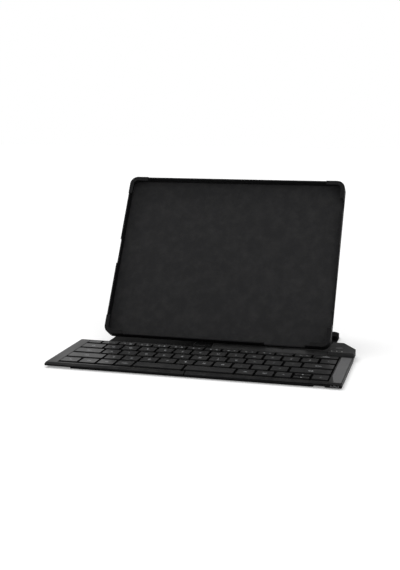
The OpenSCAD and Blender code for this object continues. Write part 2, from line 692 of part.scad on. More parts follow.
// ---- Tray ----
module tray_outline(inset = 0) rounded(-tray_w / 2 + inset, inset, tray_w / 2 - inset, tray_h - inset,
    tray_r - inset);
// Openings in the side walls, up from the lower edge: start, end and the wall left below
top_opening = 32.7;
top_opening_end = 21.2;
right_openings = [[26, 39, 3], [40.4, 77.2, 4], [77.2, 115.8, 7.5],
    [tray_h - top_opening, tray_h - top_opening_end, 3]];
left_openings = [[83, 112, 7.5]];
module side_opening(side, start, end, below)
    translate([side * tray_w / 2 - 3 * tray_wall / 2, start, below]) cube([3 * tray_wall, end - start, wall_h]);
// Opening in the lower wall: start and end along the wall, and the wall left below
end_opening = [54, 97, 4];
module tray_shell() on_tray() color(black) difference() {
    union() {
        lift(0, tray_floor) tray_outline();
        lift(0, wall_h) difference() { tray_outline(); tray_outline(tray_wall); }
        lift(wall_h, clip_t) difference() {
            intersection() {
                tray_outline();
                for (x = [0, 1], y = [0, 1]) translate([(x - 0.5) * tray_w - x * clip_l, y * (tray_h - clip_l)])
                    square(clip_l);
            }
            tray_outline(tray_wall + clip_reach);
        }
    }
    for (w = left_openings) side_opening(-1, w[0], w[1], w[2]);
    for (w = right_openings) side_opening(1, w[0], w[1], w[2]);
    translate([end_opening[0], -1, end_opening[2]])
        cube([end_opening[1] - end_opening[0], tray_wall + 1.5, wall_h]);
    bar_screw_spots() translate([0, 0, -1]) cylinder(h = tray_floor + 0.8, r = beam_screw_r + seat_gap);
}
module tray_lining() on_tray() color(charcoal) lift(tray_floor, lining_t) tray_outline(tray_wall + 0.2);
module bar_screw_spots() for (x = [-1, 1] * (bar_half_w - bar_screw_x), v = [bar_v0 + bar_screw_v, bar_v0 + bar_d - bar_screw_v])
    translate([x, v]) children();
module tray_hinge_bar() on_tray() color(steel) difference() {
    union() {
        lift(-bar_t, bar_t) rounded(-bar_half_w, bar_v0, bar_half_w, bar_v0 + bar_d, 2);
        for (side = [-1, 1]) {
            x0 = side * (pin_half - lug_l / 2) - lug_l / 2;
            rod(x0, x0 + lug_l, hinge_up, -hinge_behind, knuckle_r);
            translate([x0, hinge_up - knuckle_r, -hinge_behind]) cube([lug_l, 2 * knuckle_r, hinge_behind]);
        }
    }
    rod(-kb_half_w, kb_half_w, hinge_up, -hinge_behind, hinge_pin_r + run_gap);
    bar_screw_spots() translate([0, 0, -1]) cylinder(h = 2, r = beam_screw_r + seat_gap);
}
module hinge_bar_screws() on_tray() color(steel) bar_screw_spots() {
    translate([0, 0, -bar_t - 0.5]) cylinder(h = 0.5, r = beam_head_r);
    translate([0, 0, -bar_t - 0.5]) cylinder(h = 0.5 + bar_t + tray_floor - 0.3, r = beam_screw_r);
}

base_plate();
front_skid();
rear_beam();
base_feet();
beam_screws();
lower_hinge_pin();
carriage_plate();
slide_shoe();
pivot_pins();
left_bottom_cover();
left_frame();
left_key_plate();
left_dome_mat();
left_circuit();
left_pivot_bush();
left_guide_pin();
left_screws();
right_bottom_cover();
right_frame();
right_key_plate();
right_dome_mat();
right_circuit();
right_pivot_bush();
right_guide_pin();
right_screws();
ledge_cover();
end_panel();
main_board();
battery();
usb_socket();
status_lights();
connect_button();
number_keys_left();
tab_key();
upper_letter_keys_left();
caps_lock_key();
middle_letter_keys_left();
left_shift_key();
lower_letter_keys_left();
left_modifier_keys();
left_space_key();
number_keys_right();
backspace_key();
upper_letter_keys_right();
backslash_key();
middle_letter_keys_right();
enter_key();
lower_letter_keys_right();
right_shift_key();
right_space_key();
right_modifier_keys();
left_arrow_key();
up_down_keys();
right_arrow_key();
flap_plate();
upper_hinge_pin();
tray_shell();
tray_lining();
tray_hinge_bar();
hinge_bar_screws();
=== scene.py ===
# %% [markdown]
# # Folding travel keyboard with a tilting tray
#
# This lesson dresses a finished CAD model in Blender. The CAD model is the fixed frame: it
# says where every piece is, how big it is and which body it moves with. Blender adds what
# the CAD leaves out: soft edges, dished keycaps, printed signs, and materials with grain.
# We start by loading the frame and keeping its box, because the looks may not outgrow it.

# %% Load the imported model
import json
import math
import bpy
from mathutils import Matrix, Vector

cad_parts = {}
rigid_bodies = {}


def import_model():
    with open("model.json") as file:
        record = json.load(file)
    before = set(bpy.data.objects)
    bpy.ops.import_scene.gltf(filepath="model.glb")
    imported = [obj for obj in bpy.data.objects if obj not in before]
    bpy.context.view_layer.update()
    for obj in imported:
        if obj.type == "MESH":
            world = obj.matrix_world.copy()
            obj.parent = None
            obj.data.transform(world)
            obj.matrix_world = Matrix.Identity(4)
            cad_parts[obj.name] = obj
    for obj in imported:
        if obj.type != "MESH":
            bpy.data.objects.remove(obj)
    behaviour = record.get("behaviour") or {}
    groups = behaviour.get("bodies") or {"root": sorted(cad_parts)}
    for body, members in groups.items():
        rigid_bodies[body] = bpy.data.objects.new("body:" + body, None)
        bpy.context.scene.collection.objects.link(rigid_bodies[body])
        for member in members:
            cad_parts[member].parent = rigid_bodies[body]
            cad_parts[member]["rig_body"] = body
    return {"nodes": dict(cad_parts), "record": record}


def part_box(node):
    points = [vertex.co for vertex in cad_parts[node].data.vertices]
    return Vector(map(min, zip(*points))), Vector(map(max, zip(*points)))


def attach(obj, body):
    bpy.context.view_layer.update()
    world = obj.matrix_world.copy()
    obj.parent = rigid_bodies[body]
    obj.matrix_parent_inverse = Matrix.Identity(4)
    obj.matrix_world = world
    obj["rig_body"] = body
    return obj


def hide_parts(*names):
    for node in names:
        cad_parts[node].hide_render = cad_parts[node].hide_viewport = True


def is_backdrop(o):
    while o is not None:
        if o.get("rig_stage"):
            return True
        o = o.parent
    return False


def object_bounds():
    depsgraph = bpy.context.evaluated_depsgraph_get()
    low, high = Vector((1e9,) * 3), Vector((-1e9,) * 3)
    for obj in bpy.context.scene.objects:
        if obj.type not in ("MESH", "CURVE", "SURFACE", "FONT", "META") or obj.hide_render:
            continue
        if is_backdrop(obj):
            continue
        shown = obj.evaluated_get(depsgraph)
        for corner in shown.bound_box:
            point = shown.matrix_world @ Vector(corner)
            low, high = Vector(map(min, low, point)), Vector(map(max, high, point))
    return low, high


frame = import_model()
cad_low, cad_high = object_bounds()
print("CAD box in mm", [round(1000 * v, 1) for v in cad_high - cad_low])

# %% [markdown]
# ## Units and places
#
# Blender works in metres and a keyboard is designed in millimetres, so a small helper turns
# one into the other. Lengths along Y are counted from the keyboard's front edge, as on the
# drawing of such a keyboard. The front edge is read from the frame, and not typed again.

# %% Millimetres, and where the front edge is
def mm(value):
    return value / 1000


front_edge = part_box("left_frame")[0].y


def from_front(y):
    """Metres along Y for a distance in millimetres behind the keyboard's front edge."""
    return front_edge + mm(y)


deck_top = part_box("end_panel")[1].z
cap_low, cap_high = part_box("tab_key")
print("front edge y", round(1000 * front_edge, 2), "deck top z", round(1000 * deck_top, 2))

# %% [markdown]
# ## Camera
#
# The photograph was taken from the front and a little to the right, low over the table, with
# a moderate telephoto lens. The camera was fitted to the corners of the keyboard and of the
# tray. The small shift stands for the crop of the picture.

# %% Camera
view_from = Vector((0.2485, -0.9543, 0.2656))
camera_tilt, camera_roll, camera_turn = 79.033, 0.112, 15.046
camera_angles = [math.radians(a) for a in (camera_tilt, camera_roll, camera_turn)]
bpy.ops.object.camera_add(location=view_from, rotation=camera_angles)
camera = bpy.context.object
camera.name = "photo_camera"
camera.data.lens = 60.462
camera.data.sensor_width = 36
camera.data.shift_x = -0.01105
camera.data.shift_y = -0.00491
bpy.context.scene.camera = camera
print("camera distance mm", round(1000 * view_from.length))

# %% [markdown]
# ## Floor, background and light
#
# The object stands on a white sweep that fades into a white background, so for camera rays
# the world is plain white. Satin plastic shows what it mirrors, and glossy rays therefore
# see a studio: bright near the table, dark overhead, and brighter on the left than on the
# right, as if a large softbox stood behind the object on that side. This is what lights up
# the left end of the keyboard in a low view. For diffuse light the world is weaker, and two
# large soft lamps do most of the work. The floor adds a little of its own light for camera
# rays only, which lifts it to white and leaves the soft shadow under the object.

# %% World
world = bpy.data.worlds.new("white_studio")
bpy.context.scene.world = world
world.use_nodes = True
world_nodes, world_links = world.node_tree.nodes, world.node_tree.links
world_nodes.clear()
white_sky, diffuse_sky = 1.0, 0.5


def sky(colour_from, strength):
    node = world_nodes.new("ShaderNodeBackground")
    node.inputs["Color"].default_value = (1, 1, 1, 1)
    node.inputs["Strength"].default_value = strength
    if colour_from:
        world_links.new(colour_from, node.inputs["Color"])
    return node.outputs[0]


def blend_sky(factor, first, second):
    node = world_nodes.new("ShaderNodeMixShader")
    world_links.new(factor, node.inputs[0])
    world_links.new(first, node.inputs[1])
    world_links.new(second, node.inputs[2])
    return node.outputs[0]


def sky_ramp(axis, start, first, end, last):
    """Grey values that go from first to last along one axis of the sky."""
    ramp = world_nodes.new("ShaderNodeValToRGB")
    low_stop, high_stop = ramp.color_ramp.elements
    low_stop.position, high_stop.position = start, end
    low_stop.color = (first, first, first, 1)
    high_stop.color = (last, last, last, 1)
    world_links.new(axis, ramp.inputs["Fac"])
    return ramp.outputs["Color"]


ray = world_nodes.new("ShaderNodeLightPath")
sky_place = world_nodes.new("ShaderNodeTexCoord")
sky_axes = world_nodes.new("ShaderNodeSeparateXYZ")
world_links.new(sky_place.outputs["Generated"], sky_axes.inputs[0])
from_left = world_nodes.new("ShaderNodeMath")
from_left.operation = "MULTIPLY"
from_left.inputs[1].default_value = -1
world_links.new(sky_axes.outputs["X"], from_left.inputs[0])
sweep = world_nodes.new("ShaderNodeMix")
sweep.data_type = "RGBA"
sweep.blend_type = "MULTIPLY"
sweep.inputs["Factor"].default_value = 1
overhead = sky_ramp(sky_axes.outputs["Z"], start=0.34, first=1.0, end=0.6, last=0.22)
world_links.new(overhead, sweep.inputs["A"])
softbox = sky_ramp(from_left.outputs[0], start=0.27, first=0.3, end=0.38, last=0.85)
world_links.new(softbox, sweep.inputs["B"])
shown_sky = blend_sky(ray.outputs["Is Glossy Ray"], sky(None, diffuse_sky),
                      sky(sweep.outputs["Result"], white_sky))
shown_sky = blend_sky(ray.outputs["Is Transmission Ray"], shown_sky, sky(None, white_sky))
shown_sky = blend_sky(ray.outputs["Is Camera Ray"], shown_sky, sky(None, white_sky))
world_out = world_nodes.new("ShaderNodeOutputWorld")
world_links.new(shown_sky, world_out.inputs["Surface"])

# %% Floor
floor_size, floor_grey, floor_own_light = 8, 0.85, 0.25
bpy.ops.mesh.primitive_plane_add(size=floor_size, location=(0, 0, 0))
floor = bpy.context.object
floor.name = "floor"
floor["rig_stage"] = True
floor_paint = bpy.data.materials.new("floor_white")
floor_paint.use_nodes = True
floor_nodes, floor_links = floor_paint.node_tree.nodes, floor_paint.node_tree.links
floor_nodes.clear()
floor_out = floor_nodes.new("ShaderNodeOutputMaterial")
floor_add = floor_nodes.new("ShaderNodeAddShader")
floor_matt = floor_nodes.new("ShaderNodeBsdfDiffuse")
floor_matt.inputs["Color"].default_value = (floor_grey, floor_grey, floor_grey, 1)
floor_glow = floor_nodes.new("ShaderNodeEmission")
floor_ray = floor_nodes.new("ShaderNodeLightPath")
floor_lift = floor_nodes.new("ShaderNodeMath")
floor_lift.operation = "MULTIPLY"
floor_lift.inputs[1].default_value = floor_own_light
floor_links.new(floor_ray.outputs["Is Camera Ray"], floor_lift.inputs[0])
floor_links.new(floor_lift.outputs[0], floor_glow.inputs["Strength"])
floor_links.new(floor_matt.outputs[0], floor_add.inputs[0])
floor_links.new(floor_glow.outputs[0], floor_add.inputs[1])
floor_links.new(floor_add.outputs[0], floor_out.inputs["Surface"])
floor.data.materials.append(floor_paint)

# %% Lamps
def soft_sun(name, comes_from, angle, strength):
    bpy.ops.object.light_add(type="SUN", location=comes_from)
    lamp = bpy.context.object
    lamp.name = name
    lamp.data.angle = math.radians(angle)
    lamp.data.energy = strength
    lamp.rotation_euler = Vector(comes_from).to_track_quat("Z", "Y").to_euler()


soft_sun("overhead_softbox", comes_from=(-0.45, 0.35, 1.0), angle=40, strength=1.38)
soft_sun("front_softbox", comes_from=(0.6, -1.0, 0.8), angle=60, strength=0.6)
bpy.context.scene.view_settings.view_transform = "Standard"

# %% [markdown]
# ## Shader groups
#
# Nearly everything here is dark moulded plastic, so one group gives all of them their fine
# spark texture: a noise that bumps the surface, and varies its shade and its roughness a
# little. A second group finds edges and lightens them in patches, a painted highlight along
# the edges. A third is the thin dust that settles on faces that look up. Each is built once
# and gets its own values in every material.

# %% Helpers for groups
def new_group(name, ins, outs):
    group = bpy.data.node_groups.new(name, "ShaderNodeTree")
    for socket, kind, value in ins:
        made = group.interface.new_socket(name=socket, in_out="INPUT", socket_type=kind)
        made.default_value = value
    for socket, kind in outs:
        group.interface.new_socket(name=socket, in_out="OUTPUT", socket_type=kind)
    return group, group.nodes.new("NodeGroupInput"), group.nodes.new("NodeGroupOutput")


def math_node(tree, how, a, b=None):
    node = tree.nodes.new("ShaderNodeMath")
    node.operation = how
    for socket, value in zip(node.inputs, (a, b)):
        if value is None:
            continue
        if isinstance(value, (int, float)):
            socket.default_value = value
        else:
            tree.links.new(value, socket)
    return node.outputs[0]


# %% Group: moulded grain
cloud_rough_change = 0.12
grain_group, grain_in, grain_out = new_group(
    "moulded_grain",
    [("Grain size", "NodeSocketFloat", 0.0003), ("Shade change", "NodeSocketFloat", 0.15),
     ("Colour", "NodeSocketColor", (0.05, 0.05, 0.05, 1)), ("Roughness", "NodeSocketFloat", 0.45)],
    [("Colour", "NodeSocketColor"), ("Roughness", "NodeSocketFloat"),
     ("Height", "NodeSocketFloat")])
grain_place = grain_group.nodes.new("ShaderNodeTexCoord")
grain_noise = grain_group.nodes.new("ShaderNodeTexNoise")
grain_noise.inputs["Detail"].default_value = 3
grain_scale = math_node(grain_group, "DIVIDE", 1.0, grain_in.outputs["Grain size"])
grain_group.links.new(grain_place.outputs["Object"], grain_noise.inputs["Vector"])
grain_group.links.new(grain_scale, grain_noise.inputs["Scale"])
cloud_noise = grain_group.nodes.new("ShaderNodeTexNoise")
cloud_noise.inputs["Scale"].default_value = 35
cloud_noise.inputs["Detail"].default_value = 4
grain_group.links.new(grain_place.outputs["Object"], cloud_noise.inputs["Vector"])
grain_swing = math_node(grain_group, "SUBTRACT", grain_noise.outputs["Fac"], 0.5)
grain_shade = math_node(grain_group, "MULTIPLY", grain_swing, grain_in.outputs["Shade change"])
grain_shade = math_node(grain_group, "MULTIPLY", grain_shade, 2.0)
grain_gain = math_node(grain_group, "ADD", grain_shade, 1.0)
grain_tint = grain_group.nodes.new("ShaderNodeVectorMath")
grain_tint.operation = "SCALE"
grain_group.links.new(grain_in.outputs["Colour"], grain_tint.inputs[0])
grain_group.links.new(grain_gain, grain_tint.inputs["Scale"])
grain_group.links.new(grain_tint.outputs[0], grain_out.inputs["Colour"])
cloud_swing = math_node(grain_group, "SUBTRACT", cloud_noise.outputs["Fac"], 0.5)
cloud_rough = math_node(grain_group, "MULTIPLY", cloud_swing, cloud_rough_change)
grain_group.links.new(math_node(grain_group, "ADD", grain_in.outputs["Roughness"], cloud_rough),
                      grain_out.inputs["Roughness"])
grain_group.links.new(grain_noise.outputs["Fac"], grain_out.inputs["Height"])

# %% Group: painted edge highlight
# Painted highlight: edges found from the bevel normal are lightened in patches of noise.
edge_sheen_gain = 4.0
edge_sheen_group, edge_sheen_in, edge_sheen_out = new_group(
    "painted_edge_highlight",
    [("Width", "NodeSocketFloat", 0.0004), ("Amount", "NodeSocketFloat", 0.5)],
    [("Mask", "NodeSocketFloat")])
edge_sheen_bevel = edge_sheen_group.nodes.new("ShaderNodeBevel")
edge_sheen_bevel.samples = 4
edge_sheen_group.links.new(edge_sheen_in.outputs["Width"], edge_sheen_bevel.inputs["Radius"])
edge_sheen_flat = edge_sheen_group.nodes.new("ShaderNodeNewGeometry")
edge_sheen_dot = edge_sheen_group.nodes.new("ShaderNodeVectorMath")
edge_sheen_dot.operation = "DOT_PRODUCT"
edge_sheen_group.links.new(edge_sheen_bevel.outputs[0], edge_sheen_dot.inputs[0])
edge_sheen_group.links.new(edge_sheen_flat.outputs["Normal"], edge_sheen_dot.inputs[1])
edge_sheen_line = math_node(edge_sheen_group, "SUBTRACT", 1.0, edge_sheen_dot.outputs["Value"])
edge_sheen_line = math_node(edge_sheen_group, "MULTIPLY", edge_sheen_line, edge_sheen_gain)
edge_sheen_place = edge_sheen_group.nodes.new("ShaderNodeTexCoord")
edge_sheen_noise = edge_sheen_group.nodes.new("ShaderNodeTexNoise")
edge_sheen_noise.inputs["Scale"].default_value = 260
edge_sheen_noise.inputs["Detail"].default_value = 5
edge_sheen_group.links.new(edge_sheen_place.outputs["Object"], edge_sheen_noise.inputs["Vector"])
edge_sheen_patch = math_node(edge_sheen_group, "MULTIPLY", edge_sheen_line, edge_sheen_noise.outputs["Fac"])
edge_sheen_patch = math_node(edge_sheen_group, "MULTIPLY", edge_sheen_patch, edge_sheen_in.outputs["Amount"])
edge_sheen_patch = math_node(edge_sheen_group, "MINIMUM", edge_sheen_patch, 1.0)
edge_sheen_group.links.new(edge_sheen_patch, edge_sheen_out.inputs["Mask"])

# %% Group: settled dust
dust_threshold, dust_gain = 0.42, 5.0
dust_group, dust_in, dust_out = new_group(
    "settled_dust", [("Amount", "NodeSocketFloat", 0.05)], [("Mask", "NodeSocketFloat")])
dust_face = dust_group.nodes.new("ShaderNodeNewGeometry")
dust_split = dust_group.nodes.new("ShaderNodeSeparateXYZ")
dust_group.links.new(dust_face.outputs["Normal"], dust_split.inputs[0])
dust_up = math_node(dust_group, "MAXIMUM", dust_split.outputs["Z"], 0.0)
dust_place = dust_group.nodes.new("ShaderNodeTexCoord")
dust_noise = dust_group.nodes.new("ShaderNodeTexNoise")
dust_noise.inputs["Scale"].default_value = 90
dust_noise.inputs["Detail"].default_value = 8
dust_noise.inputs["Roughness"].default_value = 0.7
dust_group.links.new(dust_place.outputs["Object"], dust_noise.inputs["Vector"])
dust_spots = math_node(dust_group, "SUBTRACT", dust_noise.outputs["Fac"], dust_threshold)
dust_spots = math_node(dust_group, "MAXIMUM", dust_spots, 0.0)
dust_spots = math_node(dust_group, "MULTIPLY", dust_spots, dust_gain)
dust_mask = math_node(dust_group, "MULTIPLY", dust_spots, dust_up)
dust_mask = math_node(dust_group, "MULTIPLY", dust_mask, dust_in.outputs["Amount"])
dust_group.links.new(dust_mask, dust_out.inputs["Mask"])
print("shader groups", [g.name for g in bpy.data.node_groups])

# %% [markdown]
# ## Materials
#
# One helper joins the groups to a Principled shader: colour and grain first, then the painted
# highlight that lightens the edges, then the dust. What is the same all over a surface, such
# as the specular level, is set on the shader itself. The faces of the front rail that look
# forward have the frame's colour and hardly any gloss. The charging socket is painted near
# black, a painted shade for its inside, and the edge mask makes its rim much lighter, a
# painted highlight.

# %% One helper for moulded and coated surfaces
# How much lighter than the surface the painted edge highlight is.
highlight_gain, highlight_lift = 2.2, 0.01
dust_colour = (0.32, 0.31, 0.29)
bump_height = 0.05


def mix_colour(tree, factor, a, b):
    node = tree.nodes.new("ShaderNodeMix")
    node.data_type = "RGBA"
    tree.links.new(factor, node.inputs["Factor"])
    tree.links.new(a, node.inputs["A"])
    node.inputs["B"].default_value = (*b, 1)
    return node.outputs["Result"]


def coated(name, colour, roughness, grain=0.3, shade=0.15, bump=0.2, highlight_colour=None, edge_sheen=0.5,
           edge_sheen_width=0.4, dust=0.04, metal=0.0, specular=0.5):
    """A surface material. Lengths are in millimetres, colours are linear."""
    material = bpy.data.materials.new(name)
    material.use_nodes = True
    tree = material.node_tree
    shader = tree.nodes["Principled BSDF"]
    shader.inputs["Metallic"].default_value = metal
    shader.inputs["Specular IOR Level"].default_value = specular
    grains = tree.nodes.new("ShaderNodeGroup")
    grains.node_tree = grain_group
    grains.inputs["Grain size"].default_value = mm(grain)
    grains.inputs["Shade change"].default_value = shade
    grains.inputs["Colour"].default_value = (*colour, 1)
    grains.inputs["Roughness"].default_value = roughness
    edges = tree.nodes.new("ShaderNodeGroup")
    edges.node_tree = edge_sheen_group
    edges.inputs["Width"].default_value = mm(edge_sheen_width)
    edges.inputs["Amount"].default_value = edge_sheen
    dusty = tree.nodes.new("ShaderNodeGroup")
    dusty.node_tree = dust_group
    dusty.inputs["Amount"].default_value = dust
    # Edges lightened by the edge mask are a painted highlight.
    paint = mix_colour(tree, edges.outputs["Mask"], grains.outputs["Colour"],
                       highlight_colour or [min(1, highlight_gain * c + highlight_lift) for c in colour])
    paint = mix_colour(tree, dusty.outputs["Mask"], paint, dust_colour)
    tree.links.new(paint, shader.inputs["Base Color"])
    tree.links.new(grains.outputs["Roughness"], shader.inputs["Roughness"])
    bumps = tree.nodes.new("ShaderNodeBump")
    bumps.inputs["Strength"].default_value = bump
    bumps.inputs["Distance"].default_value = mm(bump_height)
    tree.links.new(grains.outputs["Height"], bumps.inputs["Height"])
    tree.links.new(bumps.outputs["Normal"], shader.inputs["Normal"])
    return material


# %% Plastics
frame_grey = (0.012, 0.012, 0.0125)
charcoal = coated("charcoal_plastic", frame_grey, 0.34, grain=0.5, bump=0.35, edge_sheen=0.3,
                  specular=0.26)
front_matt = coated("front_rail_plastic", frame_grey, 0.6, grain=0.5, bump=0.35, edge_sheen=0.3,
                    specular=0.06)
ledge_matt = coated("ledge_plastic", (0.036, 0.036, 0.0365), 0.6, grain=0.5, bump=0.35,
                    edge_sheen=0.3, specular=0.06)
key_matt = coated("keycap_plastic", (0.02, 0.02, 0.0205), 0.36, grain=0.6, shade=0.25,
                  bump=0.35, specular=0.4)
# Near-black, almost glossless copy of the keycap plastic for the caps' slopes: painted shade.
key_slope_shade = coated("keycap_slope_painted_shade", (0.003, 0.003, 0.0032), 0.8, grain=0.5, edge_sheen=0, dust=0,
                   specular=0.05)
black_shell = coated("black_plastic", (0.005, 0.005, 0.0055), 0.7, grain=0.4, edge_sheen=0.2,
                     dust=0.02, specular=0.08)
skid_black = coated("skid_plastic", (0.003, 0.003, 0.003), 0.8, grain=0.4, edge_sheen=0, dust=0,
                    specular=0.05)
tray_black = coated("tray_plastic", (0.008, 0.008, 0.0085), 0.6, grain=0.5, bump=0.3,
                    dust=0.01, specular=0.15)
grey_paint = coated("grey_panel", (0.115, 0.115, 0.117), 0.55, grain=0.3, shade=0.12,
                    bump=0.25, specular=0.25)
bush_white = coated("bush_plastic", (0.62, 0.6, 0.55), 0.4, grain=0.4, shade=0.05)
# %% Metals and rubber
powder_coat = coated("black_metal", (0.004, 0.004, 0.0042), 0.8, grain=0.7, bump=0.4,
                     edge_sheen=0.1, dust=0.01, specular=0.08)
# The steel's lighter edge colour is a painted highlight.
steel = coated("bare_steel", (0.55, 0.56, 0.58), 0.32, grain=0.2, shade=0.1, metal=1.0,
               highlight_colour=(0.7, 0.7, 0.72))
# The socket is painted near black as painted shade for its inside, and its rim gets a much lighter
# edge colour as painted highlight.
socket_shade_and_rim_highlight = coated("socket_shade_and_rim_highlight", (0.003, 0.003, 0.003), 0.5, grain=0.2, shade=0.1,
                     highlight_colour=(0.6, 0.6, 0.62), edge_sheen=3, edge_sheen_width=0.3, specular=0.1)
rubber = coated("foot_rubber", (0.02, 0.02, 0.02), 0.8, grain=0.3, shade=0.3, bump=0.6,
                specular=0.3)
# The dome sheet is painted near black as painted shade for the gaps between the caps; the sheet
# itself is recorded as translucent grey silicone.
dome_rubber = coated("dome_rubber", (0.003, 0.003, 0.003), 0.8, grain=0.3, specular=0.05,
                     dust=0)
# %% Inner sheets, lining, lights and ink
circuit_film = coated("circuit_film", (0.1, 0.2, 0.13), 0.2, grain=2.0, shade=0.3, bump=0,
                      dust=0)
board_green = coated("board_green", (0.02, 0.12, 0.05), 0.3, grain=1.5, shade=0.4, bump=0.4,
                     dust=0)
foil = coated("battery_foil", (0.55, 0.55, 0.56), 0.35, grain=1.5, shade=0.08, bump=0.7,
              metal=0.9)
lining_felt = coated("lining_felt", (0.02, 0.02, 0.021), 0.95, grain=0.35, shade=0.6,
                     bump=1.0, specular=0.2)
lens_clear = coated("light_lens", (0.6, 0.62, 0.58), 0.25, grain=0.5, shade=0.03, bump=0.05,
                    dust=0)
sign_ink = coated("sign_ink", (0.42, 0.43, 0.44), 0.6, grain=0.3, shade=0.08, bump=0.05,
                  edge_sheen=0, dust=0)
print("materials", len(bpy.data.materials))

# %% [markdown]
# ## Every CAD node gets a finish
#
# First each node gets the material of its record slot, and the charging socket one of its
# own. Nodes that are replaced further down still have one, should anybody bring them back.

# %% Finishes for the carried-over nodes
finish_of = {
    "black_metal": powder_coat, "bare_steel": steel, "black_plastic": black_shell,
    "charcoal_plastic": charcoal, "keycap_plastic": key_matt, "grey_panel": grey_paint,
    "rubber": rubber, "dome_rubber": dome_rubber, "circuit_film": circuit_film,
    "board": board_green, "battery_foil": foil, "bush_plastic": bush_white,
    "lens": lens_clear, "lining": lining_felt, "tray_plastic": tray_black}
own_finish = {"usb_socket": socket_shade_and_rim_highlight}
slot_of = {}
for part in frame["record"]["subparts"]:
    slot_of[part["node"]] = part.get("material_slot") or part.get("slot")
for name, node in frame["nodes"].items():
    node.data.materials.clear()
    node.data.materials.append(own_finish.get(name) or finish_of[slot_of[name]])
print("finished nodes", len(slot_of))

# %% [markdown]
# ## Soft edges on the CAD pieces
#
# No moulded or stamped piece has a knife edge. A CAD node may not be changed, so it is
# copied, the copy's loose triangles are merged into one skin, flat faces are joined again,
# and a narrow bevel goes round all its sharp edges. The copy then replaces the node and
# rides on the same body. The bevel's width is the piece's real edge radius.
#
# Three things are added. The front rail of each frame slopes down over its last few
# millimetres. A bevel can push a vertex slightly outwards where edges meet at a slant, so
# all vertices are held inside the node's own box. And weighted normals let the large faces
# rule the smooth shading, because a thin bevel would otherwise make flat faces look bent.

# %% Helper: a copy of a node with soft edges
weld_distance = 0.000002
flat_within, bevel_above, smooth_below = 1, 35, 30  # degrees between faces
edge_segments = 2
rail_slope_depth, rail_drop, top_tolerance = 5, 1.0, 0.01
looks_forward = -0.15  # Y of a face's normal


def only(obj):
    """Leaves nothing selected but this object."""
    if bpy.context.object and bpy.context.object.mode != "OBJECT":
        bpy.ops.object.mode_set(mode="OBJECT")
    bpy.ops.object.select_all(action="DESELECT")
    obj.select_set(True)
    bpy.context.view_layer.objects.active = obj
    return obj


def body_of_node(node_name):
    return frame["nodes"][node_name]["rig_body"]


def slope_front_edge(piece, depth, drop):
    """Lowers the top along the keyboard's front edge. The slope starts that far behind it."""
    bpy.ops.object.mode_set(mode="EDIT")
    bpy.ops.mesh.select_all(action="SELECT")
    bpy.ops.mesh.bisect(plane_co=(0, from_front(depth), 0), plane_no=(0, 1, 0))
    bpy.ops.object.mode_set(mode="OBJECT")
    for vertex in piece.data.vertices:
        before_line = from_front(depth) - vertex.co.y
        if before_line > 0 and vertex.co.z > deck_top - mm(top_tolerance):
            vertex.co.z -= mm(drop) * before_line / mm(depth)


def flatten_shading(piece):
    """Lets the large flat faces rule the smooth shading, so that they look flat."""
    flats = piece.modifiers.new("flats", "WEIGHTED_NORMAL")
    flats.keep_sharp = True
    bpy.ops.object.modifier_apply(modifier="flats")


def soft_edged(node_name, piece_name, edge, material, front_drop=0):
    """A copy of the node with bevelled edges that rides on its body and replaces it."""
    source = frame["nodes"][node_name]
    piece = bpy.data.objects.new(piece_name, source.data.copy())
    bpy.context.scene.collection.objects.link(piece)
    only(piece)
    bpy.ops.object.mode_set(mode="EDIT")
    bpy.ops.mesh.select_all(action="SELECT")
    bpy.ops.mesh.remove_doubles(threshold=weld_distance)
    bpy.ops.mesh.normals_make_consistent(inside=False)
    bpy.ops.mesh.dissolve_limited(angle_limit=math.radians(flat_within))
    bpy.ops.object.mode_set(mode="OBJECT")
    if front_drop:
        slope_front_edge(piece, rail_slope_depth, front_drop)
    bevel = piece.modifiers.new("edge", "BEVEL")
    bevel.width = mm(edge)
    bevel.segments = edge_segments
    bevel.limit_method = "ANGLE"
    bevel.angle_limit = math.radians(bevel_above)
    bevel.use_clamp_overlap = False
    bpy.ops.object.modifier_apply(modifier="edge")
    low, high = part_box(node_name)
    for vertex in piece.data.vertices:
        vertex.co = [min(max(c, a), b) for c, a, b in zip(vertex.co, low, high)]
    bpy.ops.object.shade_smooth_by_angle(angle=math.radians(smooth_below))
    flatten_shading(piece)
    piece.data.materials.clear()
    piece.data.materials.append(material)
    if front_drop:
        piece.data.materials.append(front_matt)
        for face in piece.data.polygons:
            face.material_index = 1 if face.normal.y < looks_forward else 0
    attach(piece, body_of_node(node_name))
    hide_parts(node_name)
    print(piece_name, "faces", len(piece.data.polygons))


# %% Dressed pieces of the base and the keyboard
soft_edged("base_plate", "base_plate_rolled", 0.12, powder_coat)
soft_edged("front_skid", "skid_strip", 0.15, skid_black)
soft_edged("rear_beam", "rear_beam_cast", 0.3, skid_black)
soft_edged("left_frame", "left_frame_moulded", 0.2, charcoal, front_drop=rail_drop)
soft_edged("right_frame", "right_frame_moulded", 0.2, charcoal, front_drop=rail_drop)
soft_edged("left_bottom_cover", "left_cover_moulded", 0.12, black_shell)
soft_edged("right_bottom_cover", "right_cover_moulded", 0.12, black_shell)
soft_edged("end_panel", "end_panel_moulded", 0.12, grey_paint)
soft_edged("ledge_cover", "ledge_moulded", 0.3, ledge_matt)
soft_edged("connect_button", "connect_button_moulded", 0.25, charcoal)
# %% Dressed pieces of the stand and the tray
soft_edged("flap_plate", "flap_moulded", 0.3, charcoal)
soft_edged("tray_shell", "tray_moulded", 0.3, tray_black)
soft_edged("tray_hinge_bar", "hinge_bar_pressed", 0.15, steel)

